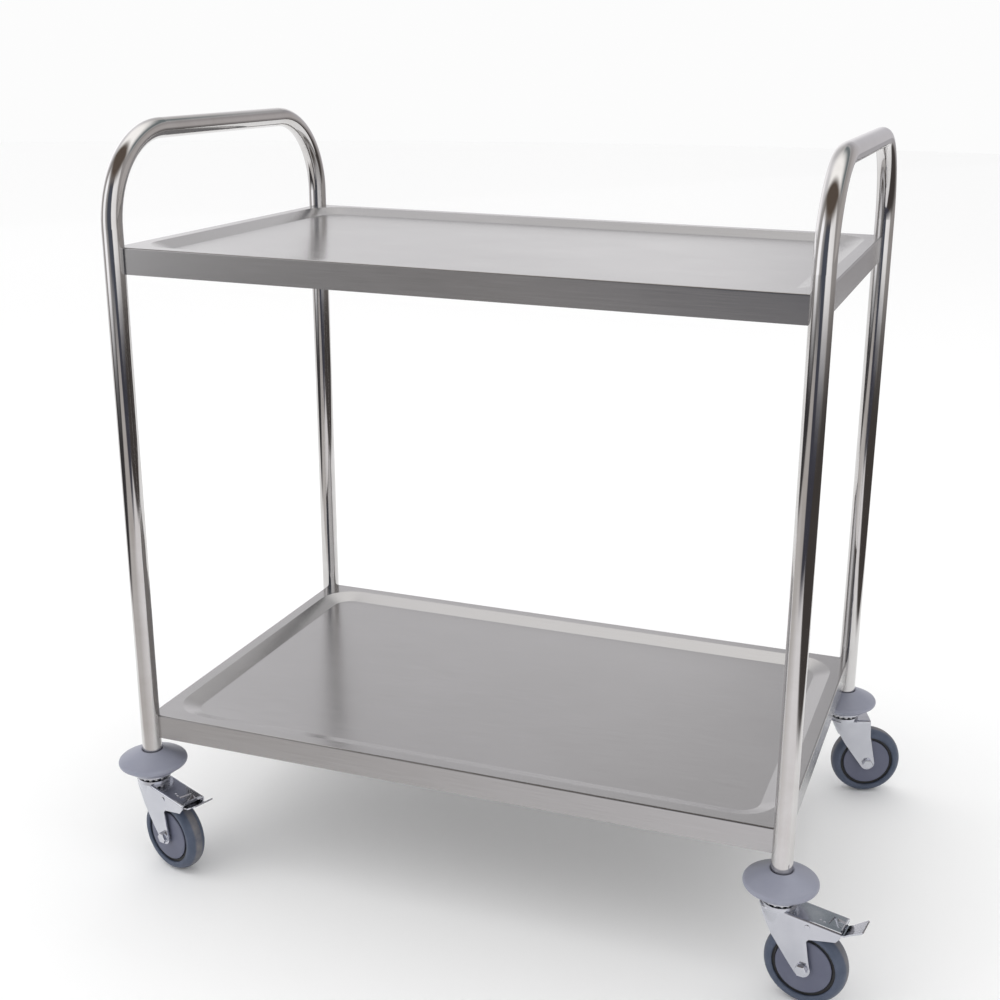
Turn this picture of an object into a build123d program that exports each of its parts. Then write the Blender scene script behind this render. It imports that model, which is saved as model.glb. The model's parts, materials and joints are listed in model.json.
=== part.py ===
from build123d import *
import os
from math import cos, radians, sin, sqrt

# Two-tier stainless trolley: two bent-tube end frames carry two pressed tray shelves on four
# swivel castors. Millimetres, +X along the cart, +Y across it towards the rear, +Z up from the
# floor. Each castor is drawn about its own swivel axis with its wheel trailing towards +X, and
# is then turned to the way it stands.

# ---------------------------------------------------------------- driving dimensions
leg_spacing_x = 835.0        # between the leg axes along the cart
leg_spacing_y = 510.0        # between the leg axes across the cart
frame_centre_x = -30.0       # legs' centre; the turned castors reach further to +X than to -X
tube_r = 12.5
tube_wall = 1.2
handle_z = 949.5             # centre line of the handle bar
handle_bend_r = 110.0        # centre line of the handle bends
tube_foot_z = 151.0

shelf_rim_z = {"lower_shelf": 210.0, "top_shelf": 818.0}
sheet = 1.2
skirt_height = 32.0
rim_width = 17.0
tray_slope_run = 22.5
tray_depth = 8.0
tray_corner_r = 49.0
return_lip = 12.0
rim_bend_r = 2.0
tray_bend_r = 2.5
leg_notch_r = tube_r + 0.1

wheel_r = 50.0
wheel_trail = 36.3
fork_half_width = 18.0
fork_sheet = 2.0
fork_top_z = 118.0
brake_travel = 10.0          # degrees from free to braked

# Swivel angle of each castor, and whether it has a brake
castors = {
    "front_left": (-1, -1, -19.0, True),
    "front_right": (1, -1, -8.5, True),
    "rear_left": (-1, 1, 12.0, False),
    "rear_right": (1, 1, 19.5, False),
}

running_gap = 0.05           # radial clearance of a pin in its bore
body_gap = 0.3               # clearance between faces that move past each other

os.makedirs("parts", exist_ok=True)


def leg_xy(side_x, side_y):
    return (frame_centre_x + side_x * leg_spacing_x / 2, side_y * leg_spacing_y / 2)


def save(piece, name):
    piece.label = name
    export_step(piece, f"parts/{name}.step")


def hexagon_prism_r(across_flats):
    return across_flats / sqrt(3)


# ---------------------------------------------------------------- shelf fixings
# One bolt per corner and shelf runs along the corner's diagonal, from under the shelf into a
# rivet nut in the leg. Distances are measured from the leg axis along that diagonal.
bolt_r = 3.0
bolt_tip = 4.0
bolt_drop = 17.0             # below the shelf rim
bracket_wall = 2.0
bracket_inner_r = tube_r + 0.2
bracket_wing = 20.0
bracket_height = 26.0
bracket_pad = 12.0
pad_face = bracket_inner_r + bracket_wall + 2.0
bracket_reach = bracket_inner_r + bracket_wing
wing_centre = sheet + bracket_wall / 2
washer_r = 6.0
washer_thickness = 1.2
bolt_head_flats = 10.0
bolt_head_height = 4.0
rivet_nut_r = 4.4
rivet_nut_flare_r = 6.0
rivet_nut_flare_from = 6.5
rivet_nut_depth = 9.0
bracket_hole_r = bolt_r + 0.3


def corner_plane(side_x, side_y, rim_z, distance):
    """A plane across the corner's diagonal, facing the middle of the cart."""
    x, y = leg_xy(side_x, side_y)
    inward = Vector(-side_x, -side_y, 0).normalized()
    centre = Vector(x, y, rim_z - bolt_drop) + inward * distance
    return Plane(origin=centre, x_dir=Vector(-inward.Y, inward.X, 0), z_dir=inward)


corners = [(side_x, side_y) for side_x in (-1, 1) for side_y in (-1, 1)]
fixings = [(sx, sy, rim_z) for rim_z in shelf_rim_z.values() for sx, sy in corners]

with BuildPart() as shelf_bolts:
    for side_x, side_y, rim_z in fixings:
        head_from = pad_face + washer_thickness
        with BuildSketch(corner_plane(side_x, side_y, rim_z, head_from)):
            RegularPolygon(hexagon_prism_r(bolt_head_flats), 6)
        extrude(amount=bolt_head_height)
        with BuildSketch(corner_plane(side_x, side_y, rim_z, bolt_tip)):
            Circle(bolt_r)
        extrude(amount=head_from - bolt_tip)

with BuildPart() as shelf_washers:
    for side_x, side_y, rim_z in fixings:
        with BuildSketch(corner_plane(side_x, side_y, rim_z, pad_face)):
            Circle(washer_r)
            Circle(bolt_r + running_gap, mode=Mode.SUBTRACT)
        extrude(amount=washer_thickness)

with BuildPart() as frame_rivet_nuts:
    for side_x, side_y, rim_z in fixings:
        with BuildSketch(corner_plane(side_x, side_y, rim_z, bolt_tip)):
            Circle(rivet_nut_r)
        extrude(amount=sqrt(tube_r**2 - rivet_nut_r**2) - bolt_tip)
        with BuildSketch(corner_plane(side_x, side_y, rim_z, rivet_nut_flare_from)):
            Circle(rivet_nut_flare_r)
        extrude(amount=rivet_nut_depth - rivet_nut_flare_from)
    for side_x, side_y, rim_z in fixings:
        with BuildSketch(corner_plane(side_x, side_y, rim_z, bolt_tip - 1)):
            Circle(bolt_r + running_gap)
        extrude(amount=tube_r, mode=Mode.SUBTRACT)

with BuildPart() as shelf_brackets:
    for side_x, side_y, rim_z in fixings:
        x, y = leg_xy(side_x, side_y)
        under_rim = Plane.XY.offset(rim_z - sheet)
        with BuildSketch(under_rim):
            with Locations((x, y)):
                Circle(bracket_inner_r + bracket_wall)
            # wings lie along the inside of the two skirts
            with Locations((x - side_x * bracket_reach / 2, y - side_y * wing_centre)):
                Rectangle(bracket_reach, bracket_wall)
            with Locations((x - side_x * wing_centre, y - side_y * bracket_reach / 2)):
                Rectangle(bracket_wall, bracket_reach)
            with Locations((x, y)):
                Circle(bracket_inner_r, mode=Mode.SUBTRACT)
            # only the quarter inside the skirts is kept
            kept = sheet + bracket_reach / 2
            with Locations((x - side_x * kept, y - side_y * kept)):
                Rectangle(bracket_reach, bracket_reach, mode=Mode.INTERSECT)
        extrude(amount=-bracket_height)
        # a flat pad for the bolt head, drilled through
        with BuildSketch(corner_plane(side_x, side_y, rim_z, bracket_inner_r + 1)):
            Rectangle(bracket_pad, bracket_pad)
        extrude(amount=pad_face - bracket_inner_r - 1)
        with BuildSketch(corner_plane(side_x, side_y, rim_z, bolt_tip)):
            Circle(bracket_hole_r)
        extrude(amount=bracket_reach, mode=Mode.SUBTRACT)

save(shelf_bolts.part, "shelf_bolts")
save(shelf_washers.part, "shelf_washers")
save(frame_rivet_nuts.part, "frame_rivet_nuts")
save(shelf_brackets.part, "shelf_brackets")


# ---------------------------------------------------------------- end frames
def make_end_frame(side_x):
    """One tube, bent twice: leg, handle bar, leg, with a hole at each shelf fixing."""
    x = leg_xy(side_x, 0)[0]
    half = leg_spacing_y / 2
    with BuildPart() as frame:
        with BuildLine(Plane.YZ.offset(x)):
            FilletPolyline(
                (-half, tube_foot_z),
                (-half, handle_z),
                (half, handle_z),
                (half, tube_foot_z),
                radius=handle_bend_r,
            )
        with BuildSketch(Plane.XY.offset(tube_foot_z)):
            with Locations((x, -half)):
                Circle(tube_r)
                Circle(tube_r - tube_wall, mode=Mode.SUBTRACT)
        sweep()
        for rim_z in shelf_rim_z.values():
            for side_y in (-1, 1):
                with BuildSketch(corner_plane(side_x, side_y, rim_z, 0)):
                    Circle(rivet_nut_r)
                extrude(amount=tube_r + 1, mode=Mode.SUBTRACT)
    return frame.part


save(make_end_frame(-1), "left_end_frame")
save(make_end_frame(1), "right_end_frame")


# ---------------------------------------------------------------- shelves
def make_shelf(rim_z):
    """Pressed tray: flat rim, sloped recess, skirt with a return lip, notched round the legs."""
    opening = (leg_spacing_x - 2 * rim_width, leg_spacing_y - 2 * rim_width)
    floor = (opening[0] - 2 * tray_slope_run, opening[1] - 2 * tray_slope_run)
    floor_corner_r = tray_corner_r - tray_slope_run
    with BuildPart() as shelf:
        with BuildSketch(Plane.XY.offset(rim_z)):
            with Locations((frame_centre_x, 0)):
                Rectangle(leg_spacing_x, leg_spacing_y)
        extrude(amount=-skirt_height)
        fillet(shelf.faces().sort_by(Axis.Z)[-1].edges(), rim_bend_r)
        # hollow under the rim, down to the return lip, and open below inside the lip
        with BuildSketch(Plane.XY.offset(rim_z - sheet)):
            with Locations((frame_centre_x, 0)):
                Rectangle(leg_spacing_x - 2 * sheet, leg_spacing_y - 2 * sheet)
        extrude(amount=-(skirt_height - 2 * sheet), mode=Mode.SUBTRACT)
        with BuildSketch(Plane.XY.offset(rim_z - skirt_height)):
            with Locations((frame_centre_x, 0)):
                Rectangle(leg_spacing_x - 2 * return_lip, leg_spacing_y - 2 * return_lip)
        extrude(amount=2 * sheet, mode=Mode.SUBTRACT)
        # the recess: its underside is added one sheet below the cavity that is cut
        for drop, mode in ((sheet, Mode.ADD), (0, Mode.SUBTRACT)):
            with BuildSketch(Plane.XY.offset(rim_z - drop)):
                with Locations((frame_centre_x, 0)):
                    RectangleRounded(*opening, tray_corner_r)
            with BuildSketch(Plane.XY.offset(rim_z - drop - tray_depth)):
                with Locations((frame_centre_x, 0)):
                    RectangleRounded(*floor, floor_corner_r)
            loft(ruled=True, mode=mode)
        floor_edges = shelf.edges().filter_by_position(
            Axis.Z, rim_z - tray_depth - 0.1, rim_z - tray_depth + 0.1
        )
        fillet(floor_edges, tray_bend_r)
        for side_x, side_y in corners:
            x, y = leg_xy(side_x, side_y)
            with BuildSketch(Plane.XY.offset(rim_z + 1)):
                with Locations((x, y)):
                    Circle(leg_notch_r)
            extrude(amount=-(skirt_height + 2), mode=Mode.SUBTRACT)
    return shelf.part


for name, rim_z in shelf_rim_z.items():
    save(make_shelf(rim_z), name)


# ---------------------------------------------------------------- leg feet
bumper_top_z = 161.0
bumper_base_z = 130.0
bumper_rim_z = 143.5
bumper_rim_r = 44.0
stem_r = 6.0
stem_hole_r = stem_r + 0.1
foot_hole_r = tube_r + 0.1   # the bumper's seat round the leg
bumper_underside = [(25.0, bumper_base_z), (31.0, bumper_base_z + 2), (40.5, bumper_rim_z - 4)]
bumper_shoulder = [(41.0, bumper_rim_z + 5), (28.5, bumper_rim_z + 11.2), (tube_r + 2.2, bumper_top_z)]
bumper_mouth = (tube_r + 0.6, bumper_top_z - 0.8)

with BuildPart() as bumper:
    with BuildSketch(Plane.XZ):
        with BuildLine():
            Polyline((stem_hole_r, bumper_base_z), *bumper_underside)
            ThreePointArc(bumper_underside[-1], (bumper_rim_r, bumper_rim_z), bumper_shoulder[0])
            ThreePointArc(*bumper_shoulder)
            Polyline(
                bumper_shoulder[-1],
                bumper_mouth,
                (foot_hole_r, tube_foot_z),
                (stem_hole_r, tube_foot_z),
                (stem_hole_r, bumper_base_z),
            )
        make_face()
    revolve(axis=Axis.Z)

sleeve_height = 24.0
sleeve_r = tube_r - tube_wall - running_gap
sleeve_slit = 1.2
expander_height = 7.0
expander_foot_r = 8.0
expander_top_r = tube_r - tube_wall - body_gap
stem_top_z = tube_foot_z + sleeve_height + expander_height + 1

with BuildPart() as stem_sleeve:
    with BuildSketch(Plane.XY.offset(tube_foot_z)):
        Circle(sleeve_r)
        Circle(stem_hole_r, mode=Mode.SUBTRACT)
        # slits that let it spread
        with PolarLocations(tube_r, 4):
            Rectangle(tube_r, sleeve_slit, mode=Mode.SUBTRACT)
    extrude(amount=sleeve_height)

with BuildPart() as expander_nut:
    with BuildSketch(Plane.XY.offset(tube_foot_z + sleeve_height)):
        Circle(expander_foot_r)
    with BuildSketch(Plane.XY.offset(tube_foot_z + sleeve_height + expander_height)):
        Circle(expander_top_r)
    loft()
    with BuildSketch(Plane.XY.offset(tube_foot_z + sleeve_height)):
        Circle(stem_r + running_gap)
    extrude(amount=expander_height, mode=Mode.SUBTRACT)

# ---------------------------------------------------------------- swivel head and kingpin
ball_r = 3.2
ball_ring_r = 17.0
ball_count = 15
ball_z = 123.5
race_groove_r = ball_r + 0.1
head_r = 25.0
head_edge_r = 1.4
head_base_z = 126.2
race_top_z = 120.9
kingpin_head_z = 107.5
kingpin_head_r = 8.5

with BuildPart() as swivel_head:
    with BuildSketch(Plane.XZ):
        with BuildLine():
            FilletPolyline(
                (stem_hole_r, head_base_z),
                (head_r, head_base_z),
                (head_r, bumper_base_z),
                (stem_hole_r, bumper_base_z),
                radius=head_edge_r,
            )
            Line((stem_hole_r, bumper_base_z), (stem_hole_r, head_base_z))
        make_face()
        with Locations((ball_ring_r, ball_z)):
            Circle(race_groove_r, mode=Mode.SUBTRACT)
    revolve(axis=Axis.Z)

with BuildPart() as kingpin:
    with BuildSketch(Plane.XY.offset(kingpin_head_z)):
        RegularPolygon(kingpin_head_r, 6)
    extrude(amount=fork_top_z - fork_sheet - body_gap - kingpin_head_z)
    with BuildSketch(Plane.XY.offset(kingpin_head_z)):
        Circle(stem_r)
    extrude(amount=stem_top_z - kingpin_head_z)

with BuildPart() as ball_ring:
    with Locations(Plane.XY.offset(ball_z)):
        with PolarLocations(ball_ring_r, ball_count):
            Sphere(ball_r)

# ---------------------------------------------------------------- castor forks
axle_r = 4.0
axle_lobe_r = 10.1
fork_edge_r = 2.6
fork_inner_half = fork_half_width - fork_sheet
web_under_z = fork_top_z - fork_sheet
brake_pin_s = 39.4
brake_pin_z = 106.4
brake_pin_r = 2.5
brake_pin_head_r = 3.3
brake_pin_head = 0.9
crease_s = 16.0              # ahead of it the plates draw together
arm_slope_from = 12.5        # behind it the braked arms slope down
plate_taper = 2.5 / 33       # how fast they draw together, to each side
arm_end_s = 78.5
arm_end_z = 110.5
race_outer_r = 20.8
race_inner_r = 7.0
cut_reach = 60.0             # longer than the fork is wide or high
top_edge_above_z = arm_end_z + 2
top_edge_out_n = 15.0
top_edge_length = 20.0
front_reach_s = -40.0
rear_reach_s = 90.0

# The crown is a round bowl under the swivel race; (height, centre along s, outer radius).
crown_top = (fork_top_z, -4.0, 20.5)
crown_foot = (96.0, -1.5, 16.0)

# Side outlines, seen with the wheel trailing to the right, without the axle lobe.
crown_outline = [(-26, fork_top_z), (-24, 112), (-15.6, 107), (-3, 84.5), (20, 84.5), (20, fork_top_z)]
plate_front = [(-17, fork_top_z), (-16.6, 114), (-15.0, 108)]
braked_outline = plate_front + [
    (-3, 84.5),
    (27.8, 44.5),
    (wheel_trail, wheel_r),
    (46.4, 49.5),
    (42.6, 68.0),
    (39.6, 87.5),
    (41.8, 90.8),
    (46.5, 92.0),
    (73.0, 97.5),
    (77.8, 103.8),
    (arm_end_s, arm_end_z),
    (arm_slope_from, fork_top_z),
]
plain_outline = plate_front + [
    (2, 80.0),
    (27.6, 44.6),
    (wheel_trail, wheel_r),
    (46.4, 51.0),
    (38.0, 92.0),
    (36.3, fork_top_z),
]

# The braked web slopes down with the arms. Two tapered pockets are pressed into it, and its last
# edge is turned up. Pocket outlines are (along s, across), with the depth of each.
arm_slope = (arm_end_z - fork_top_z) / (arm_end_s - arm_slope_from)
web_pockets = [
    (2.0, [(66.7, 8.6), (77.0, 7.2), (74.7, -7.4)]),
    (1.5, [(60.0, -7.5), (62.5, 8.5), (64.3, 9.0), (73.6, -8.5)]),
]
pocket_taper = 35.0
pocket_sheet = 1.8           # the pressing draws the sheet thinner
lip_half_width = 13.0
lip_thickness = 1.6
lip_centre_z = arm_end_z + 0.2
lip_height = 3.0
rivet_r = 1.6
rivet_height = 1.1
rivet_taper = 25.0
rivet_places = [(51.0, -5.5), (56.0, -6.8)]


def web_top_z(s):
    return fork_top_z + arm_slope * (s - arm_slope_from)


web_plane = Plane(origin=(arm_slope_from, 0, fork_top_z), x_dir=(1, 0, arm_slope), z_dir=(-arm_slope, 0, 1))
along_web = sqrt(1 + arm_slope**2)


def plate_half_width(s, inset):
    return fork_half_width - inset - plate_taper * max(crease_s - s, 0)


def make_plates(outline, inset, lobe):
    """The volume between the outer faces of the plates, or between faces set in from them."""
    stations = (front_reach_s, crease_s, rear_reach_s)
    near = [(s, -plate_half_width(s, inset)) for s in stations]
    far = [(s, plate_half_width(s, inset)) for s in reversed(stations)]
    with BuildPart() as plates:
        with BuildSketch():
            with BuildLine():
                Polyline(*near, *far, close=True)
            make_face()
        extrude(amount=fork_top_z)
        with BuildSketch(Plane.XZ):
            with BuildLine():
                Polyline(*outline, close=True)
            make_face()
            if lobe:
                with Locations((wheel_trail, wheel_r)):
                    Circle(axle_lobe_r)
        extrude(amount=cut_reach, both=True, mode=Mode.INTERSECT)
    return plates.part


def make_crown(inset):
    """The bowl between the plates and the swivel race, or its inside."""
    with BuildPart() as crown:
        for height, centre_s, radius in (crown_foot, crown_top):
            level = height - inset if height == fork_top_z else height
            with BuildSketch(Plane.XY.offset(level)):
                with Locations((centre_s, 0)):
                    Circle(radius - inset)
        loft()
        if not inset:
            fillet(crown.faces().sort_by(Axis.Z)[-1].edges(), fork_edge_r)
        with BuildSketch(Plane.XZ):
            with BuildLine():
                Polyline(*crown_outline, close=True)
            make_face()
        extrude(amount=cut_reach, both=True, mode=Mode.INTERSECT)
    return crown.part


def make_fork(braked):
    """Pressed fork: two plates and a web, with a round crown under the swivel race."""
    outline = braked_outline if braked else plain_outline
    web_end_z = web_top_z(rear_reach_s) if braked else fork_top_z
    under_web = [
        (front_reach_s, 0),
        (front_reach_s, web_under_z),
        (arm_slope_from, web_under_z),
        (rear_reach_s, web_end_z - fork_sheet),
        (rear_reach_s, 0),
    ]
    with BuildPart() as fork:
        add(make_plates(outline, 0, True))
        high = fork.edges().filter_by(lambda edge: edge.center().Z > top_edge_above_z)
        outer = high.filter_by(lambda edge: abs(edge.center().Y) > top_edge_out_n)
        fillet(outer.filter_by(lambda edge: edge.length > top_edge_length), fork_edge_r)
        add(make_crown(0))
        add(make_plates(under_web, fork_sheet, False), mode=Mode.SUBTRACT)
        add(make_crown(fork_sheet), mode=Mode.SUBTRACT)
        if braked:
            # each pocket is first a bump below the web, and is then cut from above
            for depth, pocket in web_pockets:
                for lower, mode in ((pocket_sheet, Mode.ADD), (0, Mode.SUBTRACT)):
                    with BuildSketch(web_plane.offset(-lower)):
                        with BuildLine():
                            Polyline(*[((s - arm_slope_from) * along_web, n) for s, n in pocket], close=True)
                        make_face()
                    extrude(amount=-depth, taper=pocket_taper, mode=mode)
            with Locations((arm_end_s - lip_thickness / 2, 0, lip_centre_z)):
                Box(lip_thickness, 2 * lip_half_width, lip_height)
            with BuildSketch(web_plane):
                with Locations(*[((s - arm_slope_from) * along_web, n) for s, n in rivet_places]):
                    Circle(rivet_r)
            extrude(amount=rivet_height, taper=rivet_taper)
        # raised ball race round the kingpin
        with BuildSketch(Plane.XZ):
            with Locations(((race_outer_r + race_inner_r) / 2, (web_under_z + race_top_z) / 2)):
                Rectangle(race_outer_r - race_inner_r, race_top_z - web_under_z)
            with Locations((ball_ring_r, ball_z)):
                Circle(race_groove_r, mode=Mode.SUBTRACT)
        revolve(axis=Axis.Z)
        with Locations((0, 0, fork_top_z)):
            Cylinder(stem_r + running_gap, 4 * fork_sheet, mode=Mode.SUBTRACT)
        bores = [(wheel_trail, wheel_r, axle_r)]
        if braked:
            bores.append((brake_pin_s, brake_pin_z, brake_pin_r))
        for s, z, pin_r in bores:
            with Locations(Plane.XZ):
                with Locations((s, z)):
                    Cylinder(pin_r + running_gap, cut_reach, mode=Mode.SUBTRACT)
    return fork.part


# ---------------------------------------------------------------- axle
axle_head_flats = 13.0
axle_head_height = 5.3
axle_flange_r = 7.6
axle_flange = 1.2
axle_nut_height = 6.5
axle_end_shows = 1.5
axle_head_chamfer = 0.6
spacer_r = 6.0
axle_near = Plane(origin=(wheel_trail, -fork_half_width, wheel_r), x_dir=(1, 0, 0), z_dir=(0, -1, 0))
axle_far = Plane(origin=(wheel_trail, fork_half_width, wheel_r), x_dir=(1, 0, 0), z_dir=(0, 1, 0))

with BuildPart() as axle_bolt:
    with BuildSketch(axle_near):
        Circle(axle_flange_r)
    extrude(amount=axle_flange)
    with BuildSketch(axle_near.offset(axle_flange)):
        RegularPolygon(hexagon_prism_r(axle_head_flats), 6)
    extrude(amount=axle_head_height - axle_flange)
    chamfer(axle_bolt.faces().sort_by(Axis.Y)[0].edges(), axle_head_chamfer)
    with BuildSketch(axle_near):
        Circle(axle_r)
    extrude(amount=-(2 * fork_half_width + axle_nut_height + axle_end_shows))

with BuildPart() as axle_nut:
    with BuildSketch(axle_far):
        RegularPolygon(hexagon_prism_r(axle_head_flats), 6)
        Circle(axle_r + running_gap, mode=Mode.SUBTRACT)
    extrude(amount=axle_nut_height)

with BuildPart() as axle_spacer:
    with BuildSketch(Plane.XZ):
        with Locations((wheel_trail, wheel_r)):
            Circle(spacer_r)
            Circle(axle_r + running_gap, mode=Mode.SUBTRACT)
    extrude(amount=fork_inner_half - running_gap, both=True)

# ---------------------------------------------------------------- wheel
# Profiles are (distance from the wheel's middle plane, radius), turned about the axle.
wheel_half_width = 13.3
tread_crown = 8.5
tyre_seat_r = 38.0
tyre_side = [
    (wheel_half_width, wheel_r - tread_crown),
    (wheel_half_width - 0.3, tyre_seat_r + 1.2),
    (wheel_half_width - 1.3, tyre_seat_r),
]
bearing_r = 11.0
bearing_width = 5.2
bearing_centre = 8.7
axle_centre = Location((wheel_trail, 0, wheel_r))

with BuildPart() as tyre:
    with BuildSketch(Plane.YZ):
        with BuildLine():
            EllipticalCenterArc((0, wheel_r - tread_crown), wheel_half_width, tread_crown, 0, arc_size=180)
            Polyline(*[(-n, r) for n, r in tyre_side], *reversed(tyre_side))
        make_face()
    revolve(axis=Axis.Y)

core_half = [
    (6, 8),
    (6, bearing_r),
    (11.4, bearing_r),
    (11.4, 15),
    (3.5, 16.5),
    (3, 33),
    (10, 34.5),
    (10, tyre_seat_r),
]
with BuildPart() as wheel_core:
    with BuildSketch(Plane.YZ):
        with BuildLine():
            Polyline(*core_half, *[(-n, r) for n, r in reversed(core_half)], close=True)
        make_face()
    revolve(axis=Axis.Y)

with BuildPart() as wheel_bearings:
    with BuildSketch(Plane.YZ):
        for side in (-1, 1):
            with Locations((side * bearing_centre, (bearing_r + spacer_r + running_gap) / 2)):
                Rectangle(bearing_width, bearing_r - spacer_r - running_gap)
    revolve(axis=Axis.Y)

cover_half = [
    (11.5, 6.8),
    (13.0, 6.8),
    (12.8, 12),
    (12.1, 32.8),
    (11.3, 33.7),
    (10.6, 33.7),
    (10.6, 32.4),
    (3.2, 32.4),
    (3.2, 31),
    (10.6, 31),
    (11.5, 16),
]
with BuildPart() as wheel_covers:
    for side in (-1, 1):
        with BuildSketch(Plane.YZ):
            with BuildLine():
                Polyline(*[(side * n, r) for n, r in cover_half], close=True)
            make_face()
        revolve(axis=Axis.Y)

# ---------------------------------------------------------------- brake
lever_sheet = 1.8
lever_half_width = fork_inner_half - 0.4
lever_flange = 1.5
lever_from_s = 43.5
lever_from_z = 109.6
lever_bend_s = 80.0
lever_bend_z = 104.4
tab_tip_s = 101.0
tab_tip_z = 117.0
shoe_from_s = 50.0
shoe_to_s = 67.0
shoe_half_width = 11.0
shoe_foot_z = 88.0           # below the face that meets the tyre
pin_eye_r = 4.2
tab_tip_corner_r = 3.0
tab_tip_edge = (tab_tip_s + 1.0, tab_tip_z - 1.5)
lever_plan = [
    (30.0, lever_half_width),
    (72.0, lever_half_width),
    (79.0, 11.5),
    (86.0, 11.0),
    (103.0, 14.6),
]


def lever_top_z(s):
    slope = (lever_bend_z - lever_from_z) / (lever_bend_s - lever_from_s)
    return lever_from_z + slope * (s - lever_from_s)


lever_flange_outline = [
    (brake_pin_s, 102.2),
    (70.0, 100.8),
    (73.0, 102.5),
    (73.0, lever_top_z(73.0)),
    (lever_from_s - 1, lever_from_z),
    (brake_pin_s, 110.4),
]


def turned_about_pin(s, z, angle):
    """A point of the side view, turned anticlockwise about the brake pin."""
    ds = s - brake_pin_s
    dz = z - brake_pin_z
    turned_s = ds * cos(radians(angle)) - dz * sin(radians(angle))
    turned_z = ds * sin(radians(angle)) + dz * cos(radians(angle))
    return (brake_pin_s + turned_s, brake_pin_z + turned_z)


with BuildPart() as brake_pedal:
    # web and tab, cut to their plan shape
    with BuildSketch(Plane.XZ):
        with BuildLine():
            Polyline(
                (lever_from_s, lever_from_z),
                (lever_bend_s, lever_bend_z),
                (tab_tip_s, tab_tip_z),
                tab_tip_edge,
                (lever_bend_s + 0.6, lever_bend_z - lever_sheet),
                (lever_from_s, lever_from_z - lever_sheet),
                close=True,
            )
        make_face()
    extrude(amount=lever_half_width, both=True)
    with BuildSketch() as plan:
        with BuildLine():
            Polyline(*lever_plan, *[(s, -n) for s, n in reversed(lever_plan)], close=True)
        make_face()
        fillet(plan.vertices().group_by(Axis.X)[-1], tab_tip_corner_r)
    extrude(amount=bumper_base_z, mode=Mode.INTERSECT)
    # side flanges that carry the lever on its pin
    for side in (-1, 1):
        flange_plane = Plane.XZ.offset(side * (lever_half_width - lever_flange / 2))
        with BuildSketch(flange_plane):
            with BuildLine():
                Polyline(*lever_flange_outline, close=True)
            make_face()
            with Locations((brake_pin_s, brake_pin_z)):
                Circle(pin_eye_r)
                Circle(brake_pin_r + running_gap, mode=Mode.SUBTRACT)
        extrude(amount=lever_flange / 2, both=True)

tyre_seen_when_braked = turned_about_pin(wheel_trail, wheel_r, brake_travel)
with BuildPart() as brake_shoe:
    with BuildSketch(Plane.XZ):
        with BuildLine():
            Polyline(
                (shoe_from_s, lever_top_z(shoe_from_s) - lever_sheet),
                (shoe_to_s, lever_top_z(shoe_to_s) - lever_sheet),
                (shoe_to_s, shoe_foot_z),
                (shoe_from_s, shoe_foot_z),
                close=True,
            )
        make_face()
        with Locations(tyre_seen_when_braked):
            Circle(wheel_r + body_gap, mode=Mode.SUBTRACT)
    extrude(amount=shoe_half_width, both=True)

with BuildPart() as brake_pin:
    with BuildSketch(Plane.XZ):
        with Locations((brake_pin_s, brake_pin_z)):
            Circle(brake_pin_r)
    extrude(amount=fork_half_width, both=True)
    for side in (-1, 1):
        with BuildSketch(Plane.XZ.offset(side * fork_half_width)):
            with Locations((brake_pin_s, brake_pin_z)):
                Circle(brake_pin_head_r)
        extrude(amount=side * brake_pin_head)
    chamfer(brake_pin.faces().group_by(Axis.Y)[0].edges(), brake_pin_head / 2)
    chamfer(brake_pin.faces().group_by(Axis.Y)[-1].edges(), brake_pin_head / 2)

# leaf spring: flat where it is riveted under the web, then stepped down on to the lever
spring_half_width = 5.0
spring_sheet = 0.8
spring_top = [
    (46.0, web_top_z(46) - fork_sheet),
    (54.0, web_top_z(54) - fork_sheet),
    (56.5, 109.1),
    (66.0, 107.6),
]
with BuildPart() as brake_spring:
    with BuildSketch(Plane.XZ):
        with BuildLine():
            Polyline(*spring_top, *[(s, z - spring_sheet) for s, z in reversed(spring_top)], close=True)
        make_face()
    extrude(amount=spring_half_width, both=True)

# ---------------------------------------------------------------- put the castors under the legs
forks = {braked: make_fork(braked) for braked in (True, False)}
in_wheel = {
    "tyre": tyre,
    "wheel_core": wheel_core,
    "wheel_bearings": wheel_bearings,
    "wheel_covers": wheel_covers,
}
on_axle = {"axle_bolt": axle_bolt, "axle_nut": axle_nut, "axle_spacer": axle_spacer}
in_brake = {
    "brake_pedal": brake_pedal,
    "brake_shoe": brake_shoe,
    "brake_pin": brake_pin,
    "brake_spring": brake_spring,
}
on_stem = {
    "stem_sleeves": stem_sleeve,
    "expander_nuts": expander_nut,
    "kingpins": kingpin,
    "swivel_balls": ball_ring,
}
legs = []
for corner, (side_x, side_y, swivel, braked) in castors.items():
    x, y = leg_xy(side_x, side_y)
    at_leg = Location((x, y, 0))
    place = Location((x, y, 0), (0, 0, swivel))
    legs.append(at_leg)
    save(bumper.part.moved(at_leg), f"bumper_{corner}")
    save(swivel_head.part.moved(at_leg), f"swivel_head_{corner}")
    save(forks[braked].moved(place), f"fork_{corner}")
    for name, piece in on_axle.items():
        save(piece.part.moved(place), f"{name}_{corner}")
    for name, piece in in_wheel.items():
        save(piece.part.moved(place * axle_centre), f"{name}_{corner}")
    if braked:
        for name, piece in in_brake.items():
            save(piece.part.moved(place), f"{name}_{corner}")

for name, piece in on_stem.items():
    save(Compound(children=[solid.moved(leg) for leg in legs for solid in piece.part.solids()]), name)
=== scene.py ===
import json
import math

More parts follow.
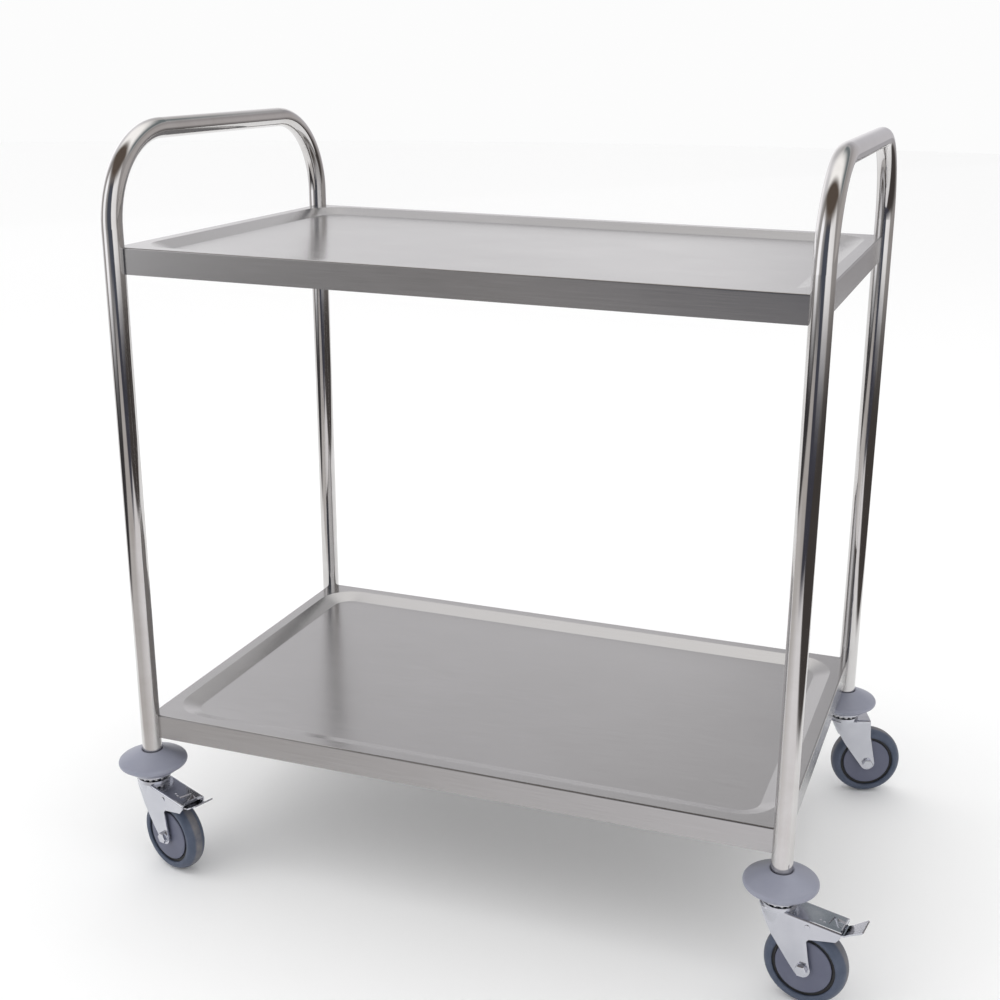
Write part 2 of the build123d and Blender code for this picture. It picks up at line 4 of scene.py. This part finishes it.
import bpy
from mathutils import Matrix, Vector

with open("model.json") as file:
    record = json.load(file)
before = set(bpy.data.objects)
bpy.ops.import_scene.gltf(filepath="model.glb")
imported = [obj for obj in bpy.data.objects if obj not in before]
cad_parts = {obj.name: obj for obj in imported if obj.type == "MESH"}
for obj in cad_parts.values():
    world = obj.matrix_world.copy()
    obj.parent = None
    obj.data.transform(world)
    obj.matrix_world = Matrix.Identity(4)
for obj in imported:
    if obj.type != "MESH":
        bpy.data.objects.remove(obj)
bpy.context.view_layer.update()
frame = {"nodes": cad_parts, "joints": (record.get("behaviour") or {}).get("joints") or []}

NODES = frame["nodes"]


# ---------------------------------------------------------------- camera and studio
CAMERA_PLACE = (0.5988, -1.7073, 1.0597)
CAMERA_TURN = (1.26325, -0.01362, 0.33342)
CAMERA_LENS = 51.98
CAMERA_SENSOR = 36.0
CAMERA_SHIFT = (-0.051, -0.003)

FLOOR_RADIUS = 14.0
FLOOR_RIM = 96               # corners of the round floor
FLOOR_COLOUR = (0.985, 0.985, 0.985)
FLOOR_LIFT = 0.004           # the glowing disc of painted floor reflections lies this far above the floor
WHITE_ROOM = (0.975, 0.975, 0.975)
LIGHTS_AIM = (0, 0, 0.5)

# The room that polished metal mirrors: (direction in degrees from +X towards +Y, light). Two soft
# boxes stand in front of the cart, to its left and to its right.
ROOM = [
    (-180, (0.50, 0.49, 0.49)),
    (-162, (0.46, 0.44, 0.43)),
    (-152, (1.45, 1.45, 1.48)),
    (-134, (1.45, 1.45, 1.48)),
    (-124, (0.60, 0.59, 0.59)),
    (-112, (0.38, 0.37, 0.37)),
    (-99, (0.10, 0.11, 0.14)),
    (-66, (0.10, 0.11, 0.14)),
    (-56, (1.25, 1.24, 1.24)),
    (-18, (1.15, 1.14, 1.14)),
    (-4, (0.42, 0.40, 0.39)),
    (45, (0.38, 0.36, 0.35)),
    (66, (0.40, 0.38, 0.38)),
    (90, (0.42, 0.41, 0.43)),
    (104, (0.76, 0.75, 0.76)),
    (116, (0.71, 0.70, 0.71)),
    (140, (0.98, 0.97, 0.99)),
    (165, (0.85, 0.84, 0.86)),
    (180, (0.50, 0.49, 0.49)),
]

# Above and behind the cart: the light of each patch, and where its sides fade, as X, Y or Z of
# the direction that a reflection looks in
BEHIND_Y = (0.1, 0.3)
LOW_BACK_GAIN = 0.42         # how much more light comes from low down behind the cart
LOW_BACK_Z = (0.18, 0.50)
BACK_SOFFIT = (0.60, 0.59, 0.59)
SOFFIT_X, SOFFIT_Z = (-0.38, -0.16), (0.42, 0.54)
DARK_BACK = (0.22, 0.25, 0.26)
DARK_BACK_X, DARK_BACK_Z = (-0.09, 0.03), (0.48, 0.56)
ROOM_TOP = (1.45, 1.43, 1.40)
ROOM_TOP_Z = (0.60, 0.92)
OVERHEAD = (0.14, 0.11, 0.09)
OVERHEAD_Y, OVERHEAD_Z = (-0.12, 0.14), (0.50, 0.80)

# Painted reflections of the floor, glowing from a disc: the light of each stretch that polished
# metal mirrors, and where it fades (m)
FLOOR_NEAR_LEFT = (0.66, 0.635, 0.62)
FLOOR_NEAR_RIGHT = (0.98, 0.96, 0.97)
FLOOR_RIGHT = (0.075, 0.066, 0.062)
FLOOR_FRONT = (0.58, 0.55, 0.53)
FLOOR_FRONT_RIGHT = (0.070, 0.070, 0.090)
FLOOR_LEFT = (0.055, 0.052, 0.055)
NEAR_EDGE_Y = (-0.55, -0.32)
NEAR_GRADIENT_X = (-0.50, 0.35)
RIGHT_EDGE_X = (0.92, 1.12)
FRONT_EDGE_Y = (-1.70, -1.35)
FRONT_RIGHT_EDGE_X = (-0.05, 0.35)
LEFT_EDGE_X = (-1.55, -1.22)
LEFT_EDGE_Y = (-0.45, 0.10)
FAR_EDGE_RADIUS = (2.6, 6.0)

TREAD_WEAR = (0.0035, 0.0065)    # how far from the tread's middle line the wear fades (m)


def add_camera():
    data = bpy.data.cameras.new("camera")
    data.lens = CAMERA_LENS
    data.sensor_width = CAMERA_SENSOR
    data.sensor_fit = "HORIZONTAL"
    data.shift_x, data.shift_y = CAMERA_SHIFT
    camera = bpy.data.objects.new("camera", data)
    camera.location = CAMERA_PLACE
    camera.rotation_euler = CAMERA_TURN
    bpy.context.scene.collection.objects.link(camera)
    bpy.context.scene.camera = camera


def add_area_light(name, place, size, power):
    """A soft light that the metals don't mirror: they mirror the room and the painted floor
    reflections.
    """
    data = bpy.data.lights.new(name, "AREA")
    data.shape = "RECTANGLE"
    data.size = data.size_y = size
    data.energy = power
    light = bpy.data.objects.new(name, data)
    light.location = place
    aim = Vector(LIGHTS_AIM) - Vector(place)
    light.rotation_euler = aim.to_track_quat("-Z", "Y").to_euler()
    light.visible_glossy = False
    bpy.context.scene.collection.objects.link(light)


def add_disc(name, height):
    bpy.ops.mesh.primitive_circle_add(
        vertices=FLOOR_RIM, radius=FLOOR_RADIUS, fill_type="NGON", location=(0, 0, height)
    )
    disc = bpy.context.object
    disc.name = name
    return disc


def add_floor():
    floor = add_disc("studio_floor", 0)
    material, _, shader = new_material("studio_floor")
    shader.inputs["Base Color"].default_value = (*FLOOR_COLOUR, 1)
    shader.inputs["Roughness"].default_value = 0.9
    shader.inputs["Specular IOR Level"].default_value = 0.1
    floor.data.materials.append(material)


def room_light(tree, x, y):
    """The light that comes from around the room, from a direction's or a place's X and Y."""
    round_the_room = remap(tree, maths(tree, "ARCTAN2", y, x), 0, 1, -math.pi, math.pi)
    ramp = tree.nodes.new("ShaderNodeValToRGB")
    ramp.color_ramp.interpolation = "EASE"
    stops = ramp.color_ramp.elements
    for direction_deg, _ in ROOM[1:-1]:
        stops.new((direction_deg + 180) / 360)
    for stop, (_, light) in zip(stops, ROOM):
        stop.color = (*light, 1)
    link(tree, round_the_room, ramp.inputs[0])
    return ramp.outputs[0]


def add_painted_floor_reflections():
    """Painted reflections of the floor: a disc, unseen by the camera, glows with what metals mirror
    of stretches beside and before the cart, and of the far floor.
    """
    reflection_disc = add_disc("studio_floor_painted_reflections", FLOOR_LIFT)
    material = bpy.data.materials.new("studio_floor_painted_reflections")
    material.use_nodes = True
    tree = material.node_tree
    tree.nodes.clear()
    place = tree.nodes.new("ShaderNodeTexCoord")
    x, y, _ = split(tree, place.outputs["Object"])
    near = falling(tree, y, *NEAR_EDGE_Y)
    right = rising(tree, x, *RIGHT_EDGE_X)
    in_front = falling(tree, y, *FRONT_EDGE_Y)
    left = product(tree, falling(tree, x, *LEFT_EDGE_X), falling(tree, y, *LEFT_EDGE_Y))
    squares = [maths(tree, "MULTIPLY", side, side) for side in (x, y)]
    radius = maths(tree, "SQRT", maths(tree, "ADD", *squares))
    far_off = rising(tree, radius, *FAR_EDGE_RADIUS)

    rightward = remap(tree, x, 0, 1, *NEAR_GRADIENT_X)
    near_glow = blend_colour(tree, rightward, FLOOR_NEAR_LEFT, FLOOR_NEAR_RIGHT)
    right_in_front = rising(tree, x, *FRONT_RIGHT_EDGE_X)
    front_glow = blend_colour(tree, right_in_front, FLOOR_FRONT, FLOOR_FRONT_RIGHT)
    reflected_glow = blend_colour(tree, right, near_glow, FLOOR_RIGHT)
    reflected_glow = blend_colour(tree, in_front, reflected_glow, front_glow)
    reflected_glow = blend_colour(tree, left, reflected_glow, FLOOR_LEFT)
    reflected_glow = blend_colour(tree, far_off, reflected_glow, room_light(tree, x, y))
    glow_shown = in_front
    for stretch in (near, right, left, far_off):
        glow_shown = maths(tree, "MAXIMUM", glow_shown, stretch)

    # painted reflections: the disc's glow stands in for the light that metals mirror off the floor
    emission = tree.nodes.new("ShaderNodeEmission")
    link(tree, reflected_glow, emission.inputs["Color"])
    clear = tree.nodes.new("ShaderNodeBsdfTransparent")
    shown = tree.nodes.new("ShaderNodeMixShader")
    link(tree, glow_shown, shown.inputs["Fac"])
    link(tree, clear.outputs[0], shown.inputs[1])
    link(tree, emission.outputs[0], shown.inputs[2])
    output = tree.nodes.new("ShaderNodeOutputMaterial")
    link(tree, shown.outputs[0], output.inputs["Surface"])
    reflection_disc.data.materials.append(material)
    reflection_disc.visible_camera = False
    reflection_disc.visible_diffuse = False
    reflection_disc.visible_shadow = False
    reflection_disc.visible_transmission = False


def add_world():
    """White for the camera and for soft light; the metals mirror a room of light and dark sides."""
    world = bpy.data.worlds.new("studio")
    bpy.context.scene.world = world
    world.use_nodes = True
    tree = world.node_tree
    direction = tree.nodes.new("ShaderNodeTexCoord")
    x, y, z = split(tree, direction.outputs["Generated"])
    behind = rising(tree, y, *BEHIND_Y)
    low_gain = remap(tree, z, LOW_BACK_GAIN, 0, *LOW_BACK_Z, smooth=True)
    low_behind = product(tree, behind, low_gain)
    around = tree.nodes.new("ShaderNodeVectorMath")
    around.operation = "SCALE"
    link(tree, room_light(tree, x, y), around.inputs["Vector"])
    link(tree, maths(tree, "ADD", low_behind, 1.0), around.inputs["Scale"])

    soffit = product(tree, rising(tree, z, *SOFFIT_Z), rising(tree, x, *SOFFIT_X), behind)
    dark_back = product(tree, rising(tree, z, *DARK_BACK_Z), rising(tree, x, *DARK_BACK_X), behind)
    top = rising(tree, z, *ROOM_TOP_Z)
    overhead = product(tree, rising(tree, z, *OVERHEAD_Z), falling(tree, y, *OVERHEAD_Y))
    mirrored = around.outputs[0]
    for patch, light in (
        (soffit, BACK_SOFFIT), (dark_back, DARK_BACK), (top, ROOM_TOP), (overhead, OVERHEAD)
    ):
        mirrored = blend_colour(tree, patch, mirrored, light)
    rays = tree.nodes.new("ShaderNodeLightPath")
    colour = blend_colour(tree, rays.outputs["Is Glossy Ray"], WHITE_ROOM, mirrored)
    link(tree, colour, tree.nodes["Background"].inputs["Color"])
    tree.nodes["Background"].inputs["Strength"].default_value = 1.0


# ---------------------------------------------------------------- material tools
def new_material(name):
    material = bpy.data.materials.new(name)
    material.use_nodes = True
    return material, material.node_tree, material.node_tree.nodes["Principled BSDF"]


def link(tree, out_socket, in_socket):
    tree.links.new(out_socket, in_socket)


def object_coordinates(tree, scale=(1, 1, 1), origin=(0, 0, 0), turn_z=0.0):
    """Coordinates in the part's frame, moved to an origin, turned about Z and scaled."""
    source = tree.nodes.new("ShaderNodeTexCoord")
    local = tree.nodes.new("ShaderNodeMapping")
    local.vector_type = "TEXTURE"
    local.inputs["Location"].default_value = origin
    local.inputs["Rotation"].default_value = (0, 0, turn_z)
    link(tree, source.outputs["Object"], local.inputs["Vector"])
    scaled = tree.nodes.new("ShaderNodeMapping")
    scaled.inputs["Scale"].default_value = scale
    link(tree, local.outputs["Vector"], scaled.inputs["Vector"])
    return scaled.outputs["Vector"]


def noise(tree, vector, scale, detail=4.0, rough=0.55):
    node = tree.nodes.new("ShaderNodeTexNoise")
    node.inputs["Scale"].default_value = scale
    node.inputs["Detail"].default_value = detail
    node.inputs["Roughness"].default_value = rough
    link(tree, vector, node.inputs["Vector"])
    return node.outputs["Fac"]


def remap(tree, value, low, high, from_low=0.3, from_high=0.7, smooth=False):
    node = tree.nodes.new("ShaderNodeMapRange")
    node.interpolation_type = "SMOOTHSTEP" if smooth else "LINEAR"
    node.inputs["From Min"].default_value = from_low
    node.inputs["From Max"].default_value = from_high
    node.inputs["To Min"].default_value = low
    node.inputs["To Max"].default_value = high
    link(tree, value, node.inputs["Value"])
    return node.outputs["Result"]


def rising(tree, value, start, end):
    """From 0 at the start to 1 at the end, smoothly."""
    return remap(tree, value, 0, 1, start, end, smooth=True)


def falling(tree, value, start, end):
    """From 1 at the start to 0 at the end, smoothly."""
    return remap(tree, value, 1, 0, start, end, smooth=True)


def split(tree, vector):
    parts = tree.nodes.new("ShaderNodeSeparateXYZ")
    link(tree, vector, parts.inputs[0])
    return parts.outputs


def product(tree, *factors):
    result = factors[0]
    for factor in factors[1:]:
        result = maths(tree, "MULTIPLY", result, factor)
    return result


def maths(tree, operation, first, second=None):
    node = tree.nodes.new("ShaderNodeMath")
    node.operation = operation
    for socket, value in zip(node.inputs, (first, second)):
        if value is None:
            continue
        if isinstance(value, (int, float)):
            socket.default_value = value
        else:
            link(tree, value, socket)
    return node.outputs[0]


def blend_colour(tree, factor, first, second):
    node = tree.nodes.new("ShaderNodeMix")
    node.data_type = "RGBA"
    link(tree, factor, node.inputs["Factor"])
    for socket, value in ((node.inputs["A"], first), (node.inputs["B"], second)):
        if isinstance(value, tuple):
            socket.default_value = (*value, 1)
        else:
            link(tree, value, socket)
    return node.outputs["Result"]


def bump(tree, shader, height, strength, distance):
    node = tree.nodes.new("ShaderNodeBump")
    node.inputs["Strength"].default_value = strength
    node.inputs["Distance"].default_value = distance
    link(tree, height, node.inputs["Height"])
    link(tree, node.outputs["Normal"], shader.inputs["Normal"])


# ---------------------------------------------------------------- metals
def new_metal(name):
    material, tree, shader = new_material(name)
    shader.inputs["Metallic"].default_value = 1.0
    return material, tree, shader


def brushed_sheet():
    """Brushed stainless sheet: fine scratches along the cart, and faint cloudy marks."""
    material, tree, shader = new_metal("brushed_sheet")
    shader.inputs["Anisotropic"].default_value = 0.6
    shader.inputs["Anisotropic Rotation"].default_value = 0.25
    # along the scratches; the trace of Y keeps this off the normal of faces that look along X
    along = tree.nodes.new("ShaderNodeCombineXYZ")
    along.inputs["X"].default_value = 1.0
    along.inputs["Y"].default_value = 0.001
    link(tree, along.outputs[0], shader.inputs["Tangent"])
    grain = noise(tree, object_coordinates(tree, (18, 1500, 1500)), 1.0, 2.0, 0.6)
    broad = noise(tree, object_coordinates(tree, (5, 8, 8)), 1.0, 3.0, 0.5)
    grain_share = maths(tree, "MULTIPLY", grain, 0.65)
    broad_share = maths(tree, "MULTIPLY", broad, 0.35)
    tone = maths(tree, "ADD", grain_share, broad_share)
    colour = blend_colour(tree, remap(tree, tone, 0, 1), (0.43, 0.425, 0.425), (0.49, 0.485, 0.49))
    link(tree, colour, shader.inputs["Base Color"])
    link(tree, remap(tree, tone, 0.17, 0.27), shader.inputs["Roughness"])
    bump(tree, shader, grain, 0.05, 0.0003)
    return material


def polished_tube():
    """Polished stainless tube: nearly a mirror, with faint upright polishing lines and marks."""
    material, tree, shader = new_metal("polished_tube")
    lines = noise(tree, object_coordinates(tree, (420, 420, 14)), 1.0, 3.0, 0.6)
    marks = noise(tree, object_coordinates(tree), 16.0, 4.0, 0.6)
    colour = blend_colour(tree, remap(tree, marks, 0, 1), (0.565, 0.55, 0.54), (0.64, 0.63, 0.63))
    link(tree, colour, shader.inputs["Base Color"])
    wear = maths(tree, "ADD", lines, marks)
    link(tree, remap(tree, wear, 0.04, 0.10, 0.7, 1.3), shader.inputs["Roughness"])
    bump(tree, shader, lines, 0.04, 0.0002)
    return material


def zinc_plate():
    """Bright zinc plate: slightly blue, with faint cloudy passivation and fine pressing marks."""
    material, tree, shader = new_metal("zinc_plate")
    clouds = noise(tree, object_coordinates(tree), 30.0, 3.0, 0.5)
    fine = noise(tree, object_coordinates(tree), 500.0, 2.0, 0.5)
    colour = blend_colour(tree, remap(tree, clouds, 0, 1), (0.53, 0.54, 0.59), (0.61, 0.62, 0.665))
    link(tree, colour, shader.inputs["Base Color"])
    link(tree, remap(tree, clouds, 0.13, 0.22), shader.inputs["Roughness"])
    bump(tree, shader, fine, 0.05, 0.0002)
    return material


def ground_steel():
    material, tree, shader = new_metal("ground_steel")
    fine = noise(tree, object_coordinates(tree), 300.0, 3.0, 0.6)
    colour = blend_colour(tree, remap(tree, fine, 0, 1), (0.5, 0.5, 0.5), (0.68, 0.68, 0.68))
    link(tree, colour, shader.inputs["Base Color"])
    link(tree, remap(tree, fine, 0.18, 0.32), shader.inputs["Roughness"])
    return material


# ---------------------------------------------------------------- plastics and rubber
def moulded_plastic(name, dark, light, roughness):
    """Moulded plastic: a fine spark-eroded grain and faint clouds."""
    material, tree, shader = new_material(name)
    clouds = noise(tree, object_coordinates(tree), 30.0, 4.0, 0.6)
    grain = noise(tree, object_coordinates(tree), 900.0, 2.0, 0.5)
    colour = blend_colour(tree, remap(tree, clouds, 0, 1), dark, light)
    link(tree, colour, shader.inputs["Base Color"])
    link(tree, remap(tree, clouds, roughness - 0.05, roughness + 0.07), shader.inputs["Roughness"])
    bump(tree, shader, grain, 0.08, 0.0003)
    return material


def across_wheel(tree, castor):
    """How far along the axle a point is from the wheel's middle plane."""
    vector = object_coordinates(tree, origin=castor["axle"], turn_z=castor["swivel"])
    return split(tree, vector)["Y"]


def tyre_rubber(castor):
    """Blue-grey rubber with a paler band of dust and wear round the tread."""
    material, tree, shader = new_material("tyre_rubber_" + castor["name"])
    off_centre = maths(tree, "ABSOLUTE", across_wheel(tree, castor))
    worn = remap(tree, off_centre, 1, 0, *TREAD_WEAR)
    patches = noise(tree, object_coordinates(tree), 60.0, 4.0, 0.65)
    dust = maths(tree, "MULTIPLY", worn, remap(tree, patches, 0.35, 1.0))
    patchy = remap(tree, patches, 0, 1)
    rubber = blend_colour(tree, patchy, (0.050, 0.066, 0.106), (0.073, 0.092, 0.140))
    colour = blend_colour(tree, dust, rubber, (0.190, 0.180, 0.182))
    link(tree, colour, shader.inputs["Base Color"])
    link(tree, remap(tree, dust, 0.46, 0.72, 0, 1), shader.inputs["Roughness"])
    grain = noise(tree, object_coordinates(tree), 1400.0, 2.0, 0.5)
    bump(tree, shader, grain, 0.10, 0.0003)
    return material


def castor_facts():
    """Each castor's axle point and swivel angle, read from its wheel joint."""
    facts = {}
    for joint in frame["joints"]:
        if not joint["name"].startswith("wheel_spin_"):
            continue
        name = joint["name"].removeprefix("wheel_spin_")
        axis = joint["axis"]
        swivel = math.atan2(-axis[0], axis[1])
        facts[name] = {"name": name, "axle": tuple(joint["pos_m"]), "swivel": swivel}
    return facts


def finish_nodes():
    sheet_steel = brushed_sheet()
    tube = polished_tube()
    zinc = zinc_plate()
    steel = ground_steel()
    bumper = moulded_plastic("bumper_plastic", (0.268, 0.278, 0.345), (0.298, 0.308, 0.375), 0.42)
    core = moulded_plastic("core_plastic", (0.006, 0.006, 0.007), (0.012, 0.012, 0.014), 0.5)
    cover = moulded_plastic("cover_plastic", (0.100, 0.108, 0.160), (0.120, 0.128, 0.182), 0.40)
    nylon = moulded_plastic("nylon", (0.55, 0.54, 0.50), (0.65, 0.64, 0.60), 0.5)
    shoe = moulded_plastic("shoe_rubber", (0.012, 0.012, 0.013), (0.02, 0.02, 0.022), 0.7)
    tyres = {name: tyre_rubber(castor) for name, castor in castor_facts().items()}
    by_prefix = {
        "left_end_frame": tube, "right_end_frame": tube,
        "top_shelf": sheet_steel, "lower_shelf": sheet_steel, "shelf_brackets": sheet_steel,
        "shelf_bolts": zinc, "shelf_washers": zinc, "frame_rivet_nuts": zinc, "expander_nuts": zinc,
        "kingpins": zinc, "stem_sleeves": nylon, "swivel_balls": steel,
        "bumper_": bumper, "swivel_head_": zinc, "fork_": zinc,
        "axle_bolt_": zinc, "axle_nut_": zinc, "axle_spacer_": steel,
        "brake_pin_": zinc, "brake_spring_": steel, "brake_pedal_": zinc, "brake_shoe_": shoe,
        "wheel_core_": core, "wheel_bearings_": steel, "wheel_covers_": cover,
    }
    for name, node in NODES.items():
        if name.startswith("tyre_"):
            material = tyres[name.removeprefix("tyre_")]
        else:
            material = next(m for prefix, m in by_prefix.items() if name.startswith(prefix))
        node.data.materials.clear()
        node.data.materials.append(material)


add_camera()
add_world()
add_floor()
add_painted_floor_reflections()
add_area_light("key", place=(-2.2, -1.6, 2.8), size=2.4, power=16)
add_area_light("top", place=(0, 0.3, 3.4), size=3.0, power=14)
finish_nodes()
bpy.context.scene.view_settings.view_transform = "Standard"
